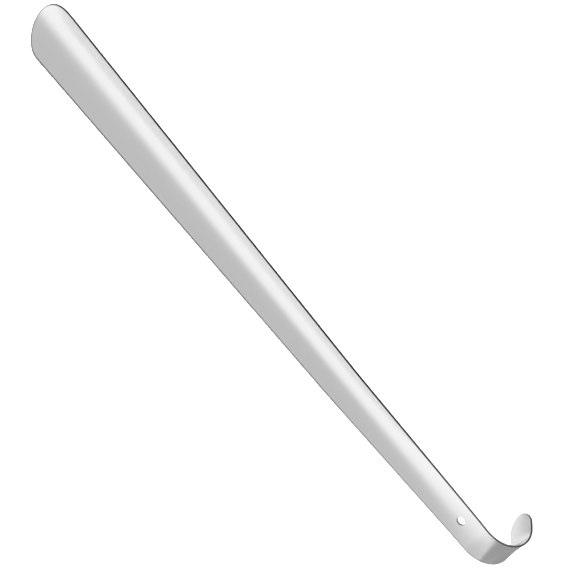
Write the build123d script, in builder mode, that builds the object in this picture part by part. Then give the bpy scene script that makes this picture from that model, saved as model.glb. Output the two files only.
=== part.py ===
from build123d import *
from math import atan2, degrees, radians
import os

# Long shoehorn: one pressing of stainless steel strip. It has a hollow blade with a round
# end, a tapering shaft, a punched hole, and a hook made by bending the strip round.
# Sizes are in millimetres and angles in degrees. "Along" is a distance along the middle
# of the strip, measured from the blade's end, round the hook, to the end of the lip.

os.makedirs("parts", exist_ok=True)

# ---- the strip, measured to the middle of the sheet ----
SHEET = 1.2                 # thickness of the steel
SHAFT = 428.0               # along, where the hook starts to bend
BLADE_WIDTH = 46.3          # across the rims, at the blade's end
LIP_WIDTH = 21.5            # across the rims, at the end of the lip

# ---- the hook ----
HOOK_RADIUS = 21.2          # to the middle of the sheet
HOOK_TURN = 131.8           # how far the strip turns
LIP = 13.9                  # straight length after the bend

# ---- the trough: how deep the middle of the strip lies below its rims ----
BLADE_HOLLOW = 10.7         # at the blade's end
KNEE_HOLLOW = 5.9           # at the knee, where the trough starts to flatten out
NECK_HOLLOW = 0.6           # at the neck, and from there to the lip
KNEE = 301.5                # along
NECK = 422.0                # along

# ---- the round ends and the hole ----
BLADE_ROUND = 21.7          # length of the blade's round end
LIP_ROUND = 10.7            # length of the lip's round end
HOLE = 413.4                # along, to the hole's centre
HOLE_DIAMETER = 6.0

# ---- how many sections the strip is lofted through ----
SHAFT_SECTIONS = 18
NECK_SECTIONS = 2           # close together, so the straight shaft runs cleanly into the bend
BEND_SECTIONS = 16
LIP_SECTIONS = 5

BEND = HOOK_RADIUS * radians(HOOK_TURN)
STRIP = SHAFT + BEND + LIP


def half_chord(along):
    """Half the width across the rims. The whole strip tapers evenly."""
    return (BLADE_WIDTH + (LIP_WIDTH - BLADE_WIDTH) * along / STRIP) / 2


def hollow(along):
    """Depth of the trough: an even slope to the knee, a steeper one to the neck, then level."""
    if along < KNEE:
        return BLADE_HOLLOW + (KNEE_HOLLOW - BLADE_HOLLOW) * along / KNEE
    if along < NECK:
        return KNEE_HOLLOW + (NECK_HOLLOW - KNEE_HOLLOW) * (along - KNEE) / (NECK - KNEE)
    return NECK_HOLLOW


def trough_radius(along):
    """Radius of the pressed arc that has this chord and this depth."""
    return (half_chord(along) ** 2 + hollow(along) ** 2) / (2 * hollow(along))


def back_rim(along):
    """Rim of the sheet's back face, half a thickness out from the middle of the sheet."""
    radius = trough_radius(along)
    growth = 1 + SHEET / 2 / radius
    return half_chord(along) * growth, radius - (radius - hollow(along)) * growth


# ---- side view of the strip, in the XZ plane: shaft, bend and lip ----
with BuildLine(Plane.XZ) as side:
    shaft_line = Line((0, 0), (SHAFT, 0))
    bend_arc = JernArc(shaft_line @ 1, shaft_line % 1, HOOK_RADIUS, -HOOK_TURN)
    Line(bend_arc @ 1, bend_arc @ 1 + LIP * (bend_arc % 1))

side_view = side.wire()


def strip_plane(along):
    """Plane that lies on the strip: x runs along it, y across it, and z out of the hollow."""
    point = side_view.position_at(along, position_mode=PositionMode.LENGTH)
    heading = side_view.tangent_at(along, position_mode=PositionMode.LENGTH)
    return Plane(point, x_dir=heading, z_dir=heading.cross(Vector(0, 1, 0)))


def section_plane(along):
    """Plane that cuts the strip square: x runs across it and y out of the hollow."""
    lying = strip_plane(along)
    return Plane(lying.origin, x_dir=lying.y_dir, z_dir=lying.x_dir)


def spaced(start, length, count):
    """Distances along for count sections, evenly spaced, with the last at the far end."""
    return [start + length * (i + 1) / count for i in range(count)]


# ---- back face of the sheet: a loft through pressed arcs, each from rim to rim ----
stations = [0.0] + spaced(0, NECK, SHAFT_SECTIONS) + spaced(NECK, SHAFT - NECK, NECK_SECTIONS)
stations += spaced(SHAFT, BEND, BEND_SECTIONS) + spaced(SHAFT + BEND, LIP, LIP_SECTIONS)

sections = []
for along in stations:
    rim, height = back_rim(along)
    with BuildLine(section_plane(along)) as section:
        ThreePointArc((-rim, height), (0, -SHEET / 2), (rim, height))
    sections.append(section.wire())

back_face = Shell.make_loft(sections).face()

# ---- waste: what the blanking tool takes off to leave the two round ends ----
LIP_CLEARANCE = 0.4         # the lip narrows, so its rims stay inside the ellipse this far


def round_end_waste(plane, length, half_width, clearance, reach):
    """Solid outside a half ellipse that grows from the plane's origin along its x."""
    with BuildPart() as waste:
        with BuildSketch(plane):
            with Locations((clearance, 0)):
                Rectangle(2 * length, 4 * half_width, align=(Align.MIN, Align.CENTER))
            Ellipse(length, half_width, mode=Mode.SUBTRACT)
        extrude(amount=reach, both=True)
    return waste.part


blade_end = Plane((BLADE_ROUND, 0, 0), x_dir=(-1, 0, 0), z_dir=(0, 0, 1))
blade_waste = round_end_waste(blade_end, BLADE_ROUND, back_rim(BLADE_ROUND)[0], 0, 2 * BLADE_HOLLOW)

lip_start = STRIP - LIP_ROUND
lip_waste = round_end_waste(
    strip_plane(lip_start), LIP_ROUND, back_rim(lip_start)[0], LIP_CLEARANCE, LIP_ROUND
)

# ---- the pressing: the blank at its full thickness, with the hole punched square to it ----
with BuildPart() as pressing:
    thicken(back_face - blade_waste - lip_waste, amount=-SHEET)
    with Locations(strip_plane(HOLE)):
        Hole(HOLE_DIAMETER / 2, depth=HOOK_RADIUS)

# ---- laid down, hollow side up, on the blade's end and the end of the lip ----
blade_foot = strip_plane(0).from_local_coords((0, 0, -SHEET / 2))
blade_tip = strip_plane(0).from_local_coords((0, 0, SHEET / 2))
lip_foot = strip_plane(STRIP).from_local_coords((0, 0, SHEET / 2))
lean = degrees(atan2(blade_foot.Z - lip_foot.Z, lip_foot.X - blade_foot.X))

leaning = pressing.part.rotate(Axis.Y, -lean)
extent = leaning.bounding_box()
near_x, far_x = blade_tip.rotate(Axis.Y, -lean).X, extent.max.X

with BuildPart() as steel_horn:
    with Locations((-(near_x + far_x) / 2, 0, -extent.min.Z)):
        add(leaning)

steel_horn.part.label = "steel_horn"
export_step(steel_horn.part, "parts/steel_horn.step")

print(f"lean {lean:.3f} degrees")
print(f"size {far_x - near_x:.2f} x {extent.size.Y:.2f} x {extent.size.Z:.2f} mm")
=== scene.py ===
# %% [markdown]
# # A long steel shoehorn
# The object is one strip of stainless steel. It is blanked, pressed into a trough and bent
# round at the top. The lesson makes it the same way: a flat pattern first, then the press,
# then the bend, then thickness and soft edges, and last the finish and the light.

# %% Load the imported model
from math import atan2, cos, degrees, radians, sin

import bpy
import numpy as np
from mathutils import Matrix, Vector


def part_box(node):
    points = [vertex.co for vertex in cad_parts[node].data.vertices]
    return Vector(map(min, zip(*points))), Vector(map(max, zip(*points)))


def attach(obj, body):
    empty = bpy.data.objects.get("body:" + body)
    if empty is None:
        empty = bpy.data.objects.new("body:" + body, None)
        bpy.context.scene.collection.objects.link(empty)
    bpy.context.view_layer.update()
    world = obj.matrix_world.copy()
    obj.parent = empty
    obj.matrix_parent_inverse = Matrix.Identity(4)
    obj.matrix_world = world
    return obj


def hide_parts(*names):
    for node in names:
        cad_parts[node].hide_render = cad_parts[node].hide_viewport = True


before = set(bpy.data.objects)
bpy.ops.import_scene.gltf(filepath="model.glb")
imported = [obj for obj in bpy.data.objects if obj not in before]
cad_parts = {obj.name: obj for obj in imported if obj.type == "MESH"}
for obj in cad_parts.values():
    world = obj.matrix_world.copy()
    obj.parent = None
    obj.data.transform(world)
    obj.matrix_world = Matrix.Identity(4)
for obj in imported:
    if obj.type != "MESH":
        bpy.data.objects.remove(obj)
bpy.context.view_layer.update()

# %% [markdown]
# ## Sizes
# All lengths are in metres. "Along" is a distance on the middle line of the strip, from the
# blade's end round the hook to the lip, and "across" is a distance from that line to a side.

# %% Driving sizes
SHEET = 0.0012
SHAFT = 0.428
BLADE_WIDTH, LIP_WIDTH = 0.0463, 0.0215
HOOK_RADIUS, HOOK_TURN, LIP = 0.0212, radians(131.8), 0.0139
BLADE_HOLLOW, KNEE_HOLLOW, NECK_HOLLOW = 0.0107, 0.0059, 0.0006
KNEE, NECK = 0.3015, 0.422
BLADE_ROUND, LIP_ROUND = 0.0217, 0.0107
HOLE, HOLE_RADIUS = 0.4134, 0.003

BEND = HOOK_RADIUS * HOOK_TURN
STRIP = SHAFT + BEND + LIP
LIP_START = STRIP - LIP_ROUND
print(f"developed length {STRIP * 1000:.1f} mm")

# %% [markdown]
# ## The flat pattern
# A blank is a flat outline: straight tapering sides and two round ends. A grid of squares
# fits the sides at once. For the round ends the same grid is pressed into a half disc, so
# the rows and columns run on into the ends with no pole and no triangle fan.


# %% How wide the strip is
def half_chord(along):
    """Half the width across the rims: a straight taper from the blade to the lip."""
    return (BLADE_WIDTH + (LIP_WIDTH - BLADE_WIDTH) * along / STRIP) / 2


# %% The grid of the blank
COLUMNS = 40
ROW = 0.001
BLADE_ROWS, LIP_ROWS = 20, 12


def straight_rows(start, end):
    """Even rows between two places along, each as wide as the strip is there."""
    count = max(2, round((end - start) / ROW))
    along = np.linspace(start, end, count + 1)[:, None]
    share = np.linspace(-1, 1, COLUMNS + 1)[None, :]
    return np.broadcast_to(along, (count + 1, COLUMNS + 1)), half_chord(along) * share


def round_rows(start, length, count):
    """Rows of a round end. A square with sides u and v becomes a disc when u is multiplied by
    the root of 1 - v²/2, and v by the root of 1 - u²/2. Half of the square gives half a disc."""
    u = np.linspace(0, 1, count + 1)[1:, None]
    v = np.linspace(-1, 1, COLUMNS + 1)[None, :]
    along = start + length * u * np.sqrt(1 - v**2 / 2)
    return along, half_chord(start) * v * np.sqrt(1 - u**2 / 2)


blade_end = [rows[::-1] for rows in round_rows(BLADE_ROUND, -BLADE_ROUND, BLADE_ROWS)]
to_hole = straight_rows(BLADE_ROUND, HOLE)
from_hole = [rows[1:] for rows in straight_rows(HOLE, LIP_START)]
lip_end = round_rows(LIP_START, LIP_ROUND, LIP_ROWS)
parts = (blade_end, to_hole, from_hole, lip_end)
along = np.vstack([part[0] for part in parts])
across = np.vstack([part[1] for part in parts])
hole_row = len(blade_end[0]) + len(to_hole[0]) - 1
print("grid of the blank:", along.shape, "rows and columns, hole on row", hole_row)

# %% [markdown]
# ## The punched hole
# The hole takes a block of squares out of the grid. Rings of new squares fill what is left
# between the block's edge and the circle, so the metal round the hole stays in clean quads.

# %% Punch the hole
BLOCK_ROWS, BLOCK_COLUMNS, RINGS = 5, 8, 5

number = np.arange(along.size).reshape(along.shape)
top, bottom = hole_row - BLOCK_ROWS, hole_row + BLOCK_ROWS
left, right = COLUMNS // 2 - BLOCK_COLUMNS, COLUMNS // 2 + BLOCK_COLUMNS
edge_of_block = np.concatenate([
    number[top, left:right],
    number[top:bottom, right],
    number[bottom, right:left:-1],
    number[bottom:top:-1, left],
])
block_points = np.stack([along.ravel(), across.ravel()], 1)[edge_of_block]
centre = np.array([HOLE, 0.0])
spoke = block_points - centre
circle_points = centre + HOLE_RADIUS * spoke / np.linalg.norm(spoke, axis=1)[:, None]
share = np.linspace(0, 1, RINGS + 1)[:-1, None, None]
ring_points = circle_points + (block_points - circle_points) * share
ring_number = along.size + np.arange(ring_points[..., 0].size).reshape(ring_points.shape[:2])
ring_number = np.vstack([ring_number, edge_of_block])

# %% Squares of the blank


def quads(grid):
    """Every square of a grid of point numbers, as rows of four numbers."""
    return np.stack([grid[:-1, :-1], grid[1:, :-1], grid[1:, 1:], grid[:-1, 1:]], -1)


keep = np.ones((along.shape[0] - 1, COLUMNS), bool)
keep[top:bottom, left:right] = False
ring_closed = np.hstack([ring_number, ring_number[:, :1]])
faces = np.vstack([quads(number)[keep], quads(ring_closed).reshape(-1, 4)[:, ::-1]])
plan = np.vstack([np.stack([along, across], -1).reshape(-1, 2), ring_points.reshape(-1, 2)])

used, faces = np.unique(faces, return_inverse=True)
faces = faces.reshape(-1, 4)
plan = plan[used]
print("blank:", len(plan), "points,", len(faces), "squares")

# %% [markdown]
# ## The press and the bend
# The press gives every cross-section one arc, deep at the blade and almost flat from the
# neck on. The trough loses its depth evenly as far as the knee and faster after it. The two
# changes of slope are softened, because sheet steel can't fold sharply there.
# The bend then carries the top of the strip round an arc and leaves a short straight lip.

# %% Depth of the trough
SOFT = 0.004


def soft_ramp(distance):
    """Nothing below zero and the distance itself above it, with a rounded corner between."""
    return (distance + np.hypot(distance, SOFT)) / 2


def hollow(along):
    """Depth of the trough: two soft ramps, one that ends at the neck and one at the knee."""
    steep = (KNEE_HOLLOW - NECK_HOLLOW) / (NECK - KNEE)
    gentle = (BLADE_HOLLOW - KNEE_HOLLOW) / KNEE
    from_neck, from_knee = soft_ramp(NECK - along), soft_ramp(KNEE - along)
    return NECK_HOLLOW + steep * from_neck + (gentle - steep) * from_knee


# %% Pressing


def pressed(along, across):
    """Place across, height, and distance round the arc, of a point of the pressed sheet. The
    section is a circle with the chord and depth of that place: its radius is the half chord
    squared plus the depth squared, divided by twice the depth."""
    depth = hollow(along)
    radius = (half_chord(along) ** 2 + depth**2) / (2 * depth)
    return across, radius - np.sqrt(radius**2 - across**2), radius * np.arcsin(across / radius)


# %% Bending


def bent(along, across, height):
    """Carries the strip round the hook. The turn grows with the distance past the shaft, and the
    height stands square to the strip everywhere."""
    turn = np.clip((along - SHAFT) / HOOK_RADIUS, 0, HOOK_TURN)
    lip = np.clip(along - SHAFT - BEND, 0, None)
    reach = np.minimum(along, SHAFT) + HOOK_RADIUS * np.sin(turn) + lip * np.cos(turn)
    drop = HOOK_RADIUS * (1 - np.cos(turn)) + lip * np.sin(turn)
    return np.stack([reach + height * np.sin(turn), across, height * np.cos(turn) - drop], -1)


side, height, round_the_arc = pressed(plan[:, 0], plan[:, 1])
points = bent(plan[:, 0], side, height)
print("pressed and bent:", np.ptp(points, axis=0).round(4), "m")

# %% [markdown]
# ## Laying it down
# The shoehorn lies hollow side up, on the blade's end and the end of the lip. The line from
# one foot to the other has to be level, which gives the lean, and the CAD box gives the rest.

# %% Lean and place
blade_top, blade_foot = np.array([0, 0, SHEET / 2]), np.array([0, 0, -SHEET / 2])
lip_foot = bent(np.array(STRIP), np.array(0.0), np.array(SHEET / 2))
lean = atan2(blade_foot[2] - lip_foot[2], lip_foot[0] - blade_foot[0])
lay_down = np.array([[cos(lean), 0, -sin(lean)], [0, 1, 0], [sin(lean), 0, cos(lean)]])
cad_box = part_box("steel_horn")
shift = np.array([cad_box[0].x - (lay_down @ blade_top)[0], 0, -(lay_down @ blade_foot)[2]])
points = points @ lay_down.T + shift
print(f"lean {degrees(lean):.2f} degrees, shift {shift.round(4)}")

# %% Put the mesh into Blender


def make_mesh(name, points, faces, uv):
    """A mesh from arrays of points, squares and one UV pair for each point."""
    mesh = bpy.data.meshes.new(name)
    mesh.from_pydata(points.tolist(), [], faces.tolist())
    layer = mesh.uv_layers.new(name="strip")
    layer.data.foreach_set("uv", uv[faces.ravel()].ravel())
    mesh.shade_smooth()
    mesh.validate()
    piece = bpy.data.objects.new(name, mesh)
    bpy.context.scene.collection.objects.link(piece)
    return piece


def distance_to_edge(along, across):
    """How far a point of the blank is from its outline: from a side, or from a round end, where
    it is one minus the ellipse's radius there, times its half width."""
    distance = half_chord(along) - np.abs(across)
    for start, length, past in ((BLADE_ROUND, BLADE_ROUND, along < BLADE_ROUND),
                                (LIP_START, LIP_ROUND, along > LIP_START)):
        half = half_chord(start)
        from_end = half * (1 - np.hypot((along - start) / length, across / half))
        distance = np.where(past, from_end, distance)
    return np.clip(distance, 0, None)


uv = np.stack([plan[:, 0], round_the_arc], 1)
horn = make_mesh("shoehorn", points, faces, uv)
edge_distance = distance_to_edge(plan[:, 0], plan[:, 1])
horn.data.attributes.new("edge_distance", "FLOAT", "POINT").data.foreach_set("value", edge_distance)
print("points on a cut edge:", int((edge_distance < 1e-6).sum()))

# %% [markdown]
# ## Thickness and soft edges
# Solidify gives the sheet its thickness with cut edges square to it, and Bevel takes the
# sharpness off them, as tumbling does after blanking. The cut edge gets its own near-black
# finish, partly duller sheared steel and partly painted shade. A narrow band of the steel
# beside it is painted darker too, as painted shade, so that the outline reads as a thin dark
# line. Bevel can't take more than the smallest squares have, at the round ends, so the
# rounding comes out at about 0.06 mm, whatever larger width is asked for.

# %% Thickness and edges
EDGE_ROUND = 0.0003
# Width of the band of painted shade along the outline.
RIM_SHADE_WIDTH = 0.0009

thick = horn.modifiers.new("sheet thickness", "SOLIDIFY")
thick.thickness = SHEET
thick.offset = 0
thick.use_even_offset = True
thick.material_offset_rim = 1
edges = horn.modifiers.new("tumbled edges", "BEVEL")
edges.width = EDGE_ROUND
edges.segments = 3
edges.limit_method = "ANGLE"
edges.angle_limit = radians(50)
edges.harden_normals = True

# %% [markdown]
# ## Steel
# Satin stainless steel is brushed along the strip, so it blurs what it mirrors across the
# strip and hardly along it. That is what anisotropy does in the shader. Very fine lines vary
# the roughness and the height a little, and broad soft patches keep large areas alive.


# %% Finish of the sheet
SHEET_TONES, SHEET_ROUGHNESS = (0.90, 0.94), (0.2, 0.26)
# Greys of the cut edge: near black, partly duller sheared steel and partly painted shade.
CUT_EDGE_SHADE_TONES, CUT_ROUGHNESS = (0.03, 0.06), (0.38, 0.52)
# Grey of the painted shade band along the outline.
RIM_SHADE_TONE = 0.16
NOISE_LOW, NOISE_HIGH = 0.3, 0.7


def new_material(name):
    """An empty node material, its node tree, and its shader linked to the output."""
    material = bpy.data.materials.new(name)
    material.use_nodes = True
    tree = material.node_tree
    return material, tree, tree.nodes["Principled BSDF"]


def link(tree, source, target):
    """Joins an output socket to an input socket."""
    tree.links.new(source, target)


def grey(tone):
    """A colour with the same red, green and blue."""
    return (tone, tone, tone, 1)


def brushed_lines(tree, along_scale, across_scale, detail):
    """Noise drawn out along the strip: few changes along, many across."""
    place = tree.nodes.new("ShaderNodeUVMap")
    place.uv_map = "strip"
    stretch = tree.nodes.new("ShaderNodeMapping")
    stretch.inputs["Scale"].default_value = (along_scale, across_scale, 1)
    noise = tree.nodes.new("ShaderNodeTexNoise")
    noise.inputs["Scale"].default_value = 1
    noise.inputs["Detail"].default_value = detail
    link(tree, place.outputs["UV"], stretch.inputs["Vector"])
    link(tree, stretch.outputs["Vector"], noise.inputs["Vector"])
    return noise


def ranged(tree, source, low, high):
    """Carries the range where noise mostly lies to a low and a high value."""
    node = tree.nodes.new("ShaderNodeMapRange")
    node.inputs["From Min"].default_value = NOISE_LOW
    node.inputs["From Max"].default_value = NOISE_HIGH
    node.inputs["To Min"].default_value = low
    node.inputs["To Max"].default_value = high
    link(tree, source, node.inputs["Value"])
    return node.outputs["Result"]


def satin_steel():
    """Brushed sheet: metal with lines along the strip, and painted shade in a band by the outline.
    """
    material, tree, shader = new_material("satin_steel")
    shader.inputs["Metallic"].default_value = 1
    shader.inputs["Anisotropic"].default_value = 0.7
    shader.inputs["Anisotropic Rotation"].default_value = 0.25
    lines = brushed_lines(tree, 40, 5000, 3)
    patches = brushed_lines(tree, 18, 60, 2)
    link(tree, ranged(tree, lines.outputs["Fac"], *SHEET_ROUGHNESS), shader.inputs["Roughness"])
    tone = tree.nodes.new("ShaderNodeMix")
    tone.data_type = "RGBA"
    tone.inputs[6].default_value = grey(SHEET_TONES[0])
    tone.inputs[7].default_value = grey(SHEET_TONES[1])
    link(tree, patches.outputs["Fac"], tone.inputs[0])
    # Painted shade: near the outline the base colour fades to a dark grey, so the rim reads as a
    # thin dark line.
    near_edge = tree.nodes.new("ShaderNodeAttribute")
    near_edge.attribute_name = "edge_distance"
    clear = tree.nodes.new("ShaderNodeMapRange")
    clear.interpolation_type = "SMOOTHSTEP"
    clear.inputs["From Max"].default_value = RIM_SHADE_WIDTH
    painted_rim_shade = tree.nodes.new("ShaderNodeMix")
    painted_rim_shade.data_type = "RGBA"
    painted_rim_shade.inputs[6].default_value = grey(RIM_SHADE_TONE)
    link(tree, near_edge.outputs["Fac"], clear.inputs["Value"])
    link(tree, clear.outputs["Result"], painted_rim_shade.inputs[0])
    link(tree, tone.outputs[2], painted_rim_shade.inputs[7])
    link(tree, painted_rim_shade.outputs[2], shader.inputs["Base Color"])
    bump = tree.nodes.new("ShaderNodeBump")
    bump.inputs["Strength"].default_value = 0.15
    bump.inputs["Distance"].default_value = 0.00001
    link(tree, lines.outputs["Fac"], bump.inputs["Height"])
    link(tree, bump.outputs["Normal"], shader.inputs["Normal"])
    tangent = tree.nodes.new("ShaderNodeTangent")
    tangent.direction_type = "UV_MAP"
    tangent.uv_map = "strip"
    link(tree, tangent.outputs["Tangent"], shader.inputs["Tangent"])
    return material


def cut_edge():
    """Sheared edge: the same steel, dull where the tool tore it. Its near-black grey is partly the
    duller sheared steel and partly painted shade, so the rim reads as a dark line.
    """
    material, tree, shader = new_material("cut_edge")
    shader.inputs["Metallic"].default_value = 1
    tear = tree.nodes.new("ShaderNodeTexNoise")
    place = tree.nodes.new("ShaderNodeTexCoord")
    tear.inputs["Scale"].default_value = 1500
    link(tree, place.outputs["Object"], tear.inputs["Vector"])
    link(tree, ranged(tree, tear.outputs["Fac"], *CUT_ROUGHNESS), shader.inputs["Roughness"])
    # Painted shade in part: the cut edge's greys are near black, so the rim shows as a dark line.
    tone = tree.nodes.new("ShaderNodeMix")
    tone.data_type = "RGBA"
    tone.inputs[6].default_value = grey(CUT_EDGE_SHADE_TONES[0])
    tone.inputs[7].default_value = grey(CUT_EDGE_SHADE_TONES[1])
    link(tree, tear.outputs["Fac"], tone.inputs[0])
    link(tree, tone.outputs[2], shader.inputs["Base Color"])
    return material


horn.data.materials.append(satin_steel())
horn.data.materials.append(cut_edge())
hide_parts("steel_horn")
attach(horn, "root")

# %% [markdown]
# ## Camera
# A long lens looks at the hollow from the side of one rim, square to the shaft, and is
# rolled so that the blade is at the top left and the hook at the bottom right.

# %% Camera
LENS, SENSOR = 1500.0, 36.0
FIELD = 0.36
TILT = radians(42.06)
ROLL = radians(50.85)
AIM = np.array([0.23225, 0.00583, -0.00526])
CLIP_START, CLIP_END = 0.1, 60

along_axis = np.array([1.0, 0.0, 0.0])
to_camera = np.array([0.0, sin(TILT), cos(TILT)])
sideways = np.array([0.0, cos(TILT), -sin(TILT)])
view_right = cos(ROLL) * along_axis + sin(ROLL) * sideways
view_up = -sin(ROLL) * along_axis + cos(ROLL) * sideways
axes = lay_down @ np.stack([view_right, view_up, to_camera], 1)
place = lay_down @ AIM + shift + axes[:, 2] * FIELD * LENS / SENSOR

camera_data = bpy.data.cameras.new("camera")
camera_data.lens, camera_data.sensor_width = LENS, SENSOR
camera_data.clip_start, camera_data.clip_end = CLIP_START, CLIP_END
camera = bpy.data.objects.new("camera", camera_data)
camera.matrix_world = Matrix.Translation(Vector(place)) @ Matrix(axes.tolist()).to_4x4()
bpy.context.scene.collection.objects.link(camera)
bpy.context.scene.camera = camera
print("camera at", place.round(3))

# %% [markdown]
# ## Floor and light
# The floor is plain and pale. The room is bright, with one broad soft patch of grey overhead
# that the steel mirrors. The only lamp is a big soft disc on the camera's line of sight,
# hidden from it, so the shadow it makes falls behind the shoehorn and hardly shows.

# %% Floor
FLOOR_REACH, FLOOR_GREY, FLOOR_ROUGHNESS = 20, 0.9, 0.9

corner_signs = ((-1, -1), (1, -1), (1, 1), (-1, 1))
floor_corners = [(FLOOR_REACH * x, FLOOR_REACH * y, 0) for x, y in corner_signs]
floor_mesh = bpy.data.meshes.new("floor")
floor_mesh.from_pydata(floor_corners, [], [(0, 1, 2, 3)])
floor = bpy.data.objects.new("floor", floor_mesh)
bpy.context.scene.collection.objects.link(floor)
floor_material, _, floor_shader = new_material("pale_floor")
floor_shader.inputs["Base Color"].default_value = grey(FLOOR_GREY)
floor_shader.inputs["Roughness"].default_value = FLOOR_ROUGHNESS
floor_mesh.materials.append(floor_material)

# %% Room light
GREY_SIDE, BRIGHT_SIDE = 0.54, 1.0
GREY_CENTRE = radians(30)
ALL_BRIGHT, ALL_GREY = radians(66), radians(32)

world = bpy.data.worlds.new("room")
bpy.context.scene.world = world
world.use_nodes = True
tree = world.node_tree
back = tree.nodes["Background"]
back.inputs["Color"].default_value = (1, 1, 1, 1)
where = tree.nodes.new("ShaderNodeTexCoord")
facing = tree.nodes.new("ShaderNodeVectorMath")
facing.operation = "DOT_PRODUCT"
facing.inputs[1].default_value = lay_down @ np.array([0, sin(GREY_CENTRE), cos(GREY_CENTRE)])
fade = tree.nodes.new("ShaderNodeMapRange")
fade.interpolation_type = "SMOOTHSTEP"
fade.inputs["From Min"].default_value = cos(ALL_BRIGHT)
fade.inputs["From Max"].default_value = cos(ALL_GREY)
fade.inputs["To Min"].default_value = BRIGHT_SIDE
fade.inputs["To Max"].default_value = GREY_SIDE
link(tree, where.outputs["Generated"], facing.inputs[0])
link(tree, facing.outputs["Value"], fade.inputs["Value"])
link(tree, fade.outputs["Result"], back.inputs["Strength"])
bpy.context.scene.view_settings.view_transform = "Standard"

# %% Lamp in front of the camera
LAMP_DISTANCE, LAMP_SIZE, LAMP_POWER = 5.0, 1.0, 700

lamp_data = bpy.data.lights.new("front_lamp", "AREA")
lamp_data.shape = "DISK"
lamp_data.size = LAMP_SIZE
lamp_data.energy = LAMP_POWER
lamp = bpy.data.objects.new("front_lamp", lamp_data)
lamp_place = lay_down @ AIM + shift + axes[:, 2] * LAMP_DISTANCE
lamp.matrix_world = Matrix.Translation(Vector(lamp_place)) @ Matrix(axes.tolist()).to_4x4()
lamp.visible_glossy = lamp.visible_camera = False
bpy.context.scene.collection.objects.link(lamp)


# %% [markdown]
# ## Cards for the steel to mirror
# Polished metal has hardly any look of its own: it shows the studio, so grey and white
# cards are set round it to draw its shape. These cards show only in mirrored light. They
# stay out of the picture and cast no shadow. One hangs overhead. Its soft edge has three
# corners, and gives the trough a grey side and a bright side. Three more are by the hook: a
# fan on the floor that shades the lip, and two plain grey ones, on the floor and upright,
# that darken the bend. Their places and greys were chosen for this one view.

# %% Painted cards


def painted_card(name, place, paint):
    """A card that shows only in the steel. It is a grid of points, and every point of the grid
    has its own grey, so the paint can fade from one grey to another."""
    number = np.arange(paint.size).reshape(paint.shape)
    mesh = bpy.data.meshes.new(name)
    mesh.from_pydata(place.reshape(-1, 3).tolist(), [], quads(number).reshape(-1, 4).tolist())
    mesh.attributes.new("grey", "FLOAT", "POINT").data.foreach_set("value", paint.ravel())
    plate = bpy.data.objects.new(name, mesh)
    bpy.context.scene.collection.objects.link(plate)
    plate.visible_camera = plate.visible_diffuse = plate.visible_shadow = False
    material = bpy.data.materials.new(name)
    material.use_nodes = True
    tree = material.node_tree
    tree.nodes.clear()
    read = tree.nodes.new("ShaderNodeAttribute")
    read.attribute_name = "grey"
    glow = tree.nodes.new("ShaderNodeEmission")
    out = tree.nodes.new("ShaderNodeOutputMaterial")
    link(tree, read.outputs["Fac"], glow.inputs["Strength"])
    link(tree, glow.outputs["Emission"], out.inputs["Surface"])
    mesh.materials.append(material)


# %% Card overhead
CARD_CORNERS = [0.29, 0.43, 1.27]
EDGE_AT_CORNERS = [-0.45, -0.93, -1.24]
SOFT_FROM, SOFT_TO = (0, 0.5), (0.7, 0.15)

card_along = np.linspace(-1, 3, 81)[:, None]
sparse_low, sparse_high = np.linspace(-4, -1.6, 8), np.linspace(0.8, 3, 8)
card_across = np.concatenate([sparse_low, np.linspace(-1.56, 0.6, 90), sparse_high])[None, :]
edge = np.interp(card_along, CARD_CORNERS, EDGE_AT_CORNERS)
softness = np.interp(card_along, SOFT_FROM, SOFT_TO)
step = np.clip((card_across - edge) / softness + 0.5, 0, 1)
step = step**2 * (3 - 2 * step)
flat_along, flat_across = np.broadcast_arrays(card_along, card_across)
overhead = np.stack([flat_along, flat_across, np.ones(step.shape)], -1) @ lay_down.T + shift
painted_card("overhead_card", overhead, BRIGHT_SIDE + (GREY_SIDE - BRIGHT_SIDE) * step)
print("overhead card:", step.shape, "points")

# %% Cards by the hook
HOOK_GREY, LIP_DARK, LIP_LIGHT = 0.31, 0.36, 0.86
CARD_LIFT = 0.0004
FAN_Y = 0.004
SHADE_FROM, SHADE_TO = radians(30), radians(60)
hook_x = cad_box[1].x - 0.015

turn = np.radians(np.linspace(0, 90, 46))[:, None]
reach = np.array([0.0005, 0.004, 0.01, 0.03, 0.08, 0.2, 0.5, 1.0])[None, :]
fan = np.stack([hook_x - reach * np.cos(turn), FAN_Y - reach * np.sin(turn),
                np.full((len(turn), reach.size), CARD_LIFT)], -1)
fan_grey = np.interp(turn, [SHADE_FROM, SHADE_TO], [LIP_DARK, LIP_LIGHT])
painted_card("lip_card", fan, np.broadcast_to(fan_grey, fan.shape[:2]))

east, north = np.meshgrid(np.linspace(hook_x, 1.5, 4), np.linspace(0.03, -1.5, 4), indexing="ij")
floor_part = np.stack([east, north, np.full(east.shape, CARD_LIFT)], -1)
painted_card("hook_floor_card", floor_part, np.full(east.shape, HOOK_GREY))

share, up = np.meshgrid(np.linspace(0, 0.9, 4), np.linspace(0, 0.62, 4), indexing="ij")
upright = np.stack([0.35 + share, share - 1.35, up], -1)
painted_card("side_card", upright, np.full(up.shape, HOOK_GREY))
print("cards by the hook:", fan.shape[:2], floor_part.shape[:2], upright.shape[:2], "points")
